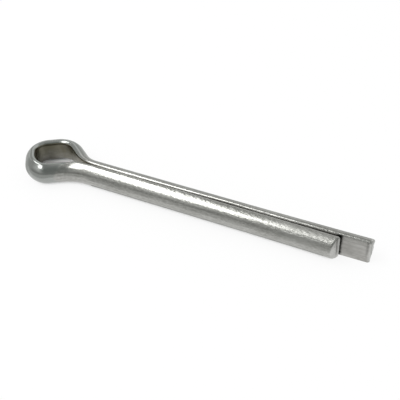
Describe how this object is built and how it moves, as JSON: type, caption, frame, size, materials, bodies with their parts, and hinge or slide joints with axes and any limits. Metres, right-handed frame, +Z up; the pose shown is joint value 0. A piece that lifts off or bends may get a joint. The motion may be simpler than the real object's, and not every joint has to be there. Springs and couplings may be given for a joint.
{
  "type": "split cotter pin",
  "caption": "Split cotter pin of half-round wire folded flat to flat, with a teardrop eye, a slit round shank and prongs of unequal length, to lock a nut or a clevis pin.",
  "frame": {"origin": "on the shank's axis, where the necks end and the straight shank starts", "axes": "+X along the shank from the eye to the tips, +Y towards the long prong, +Z up with the eye lying flat"},
  "size_m": [0.0827, 0.0136, 0.0056],
  "materials": {
    "zinc_plate": "bright zinc plate over drawn wire"
  },
  "bodies": {
    "root": {"split_pin": "zinc_plate"}
  },
  "joints": []
}
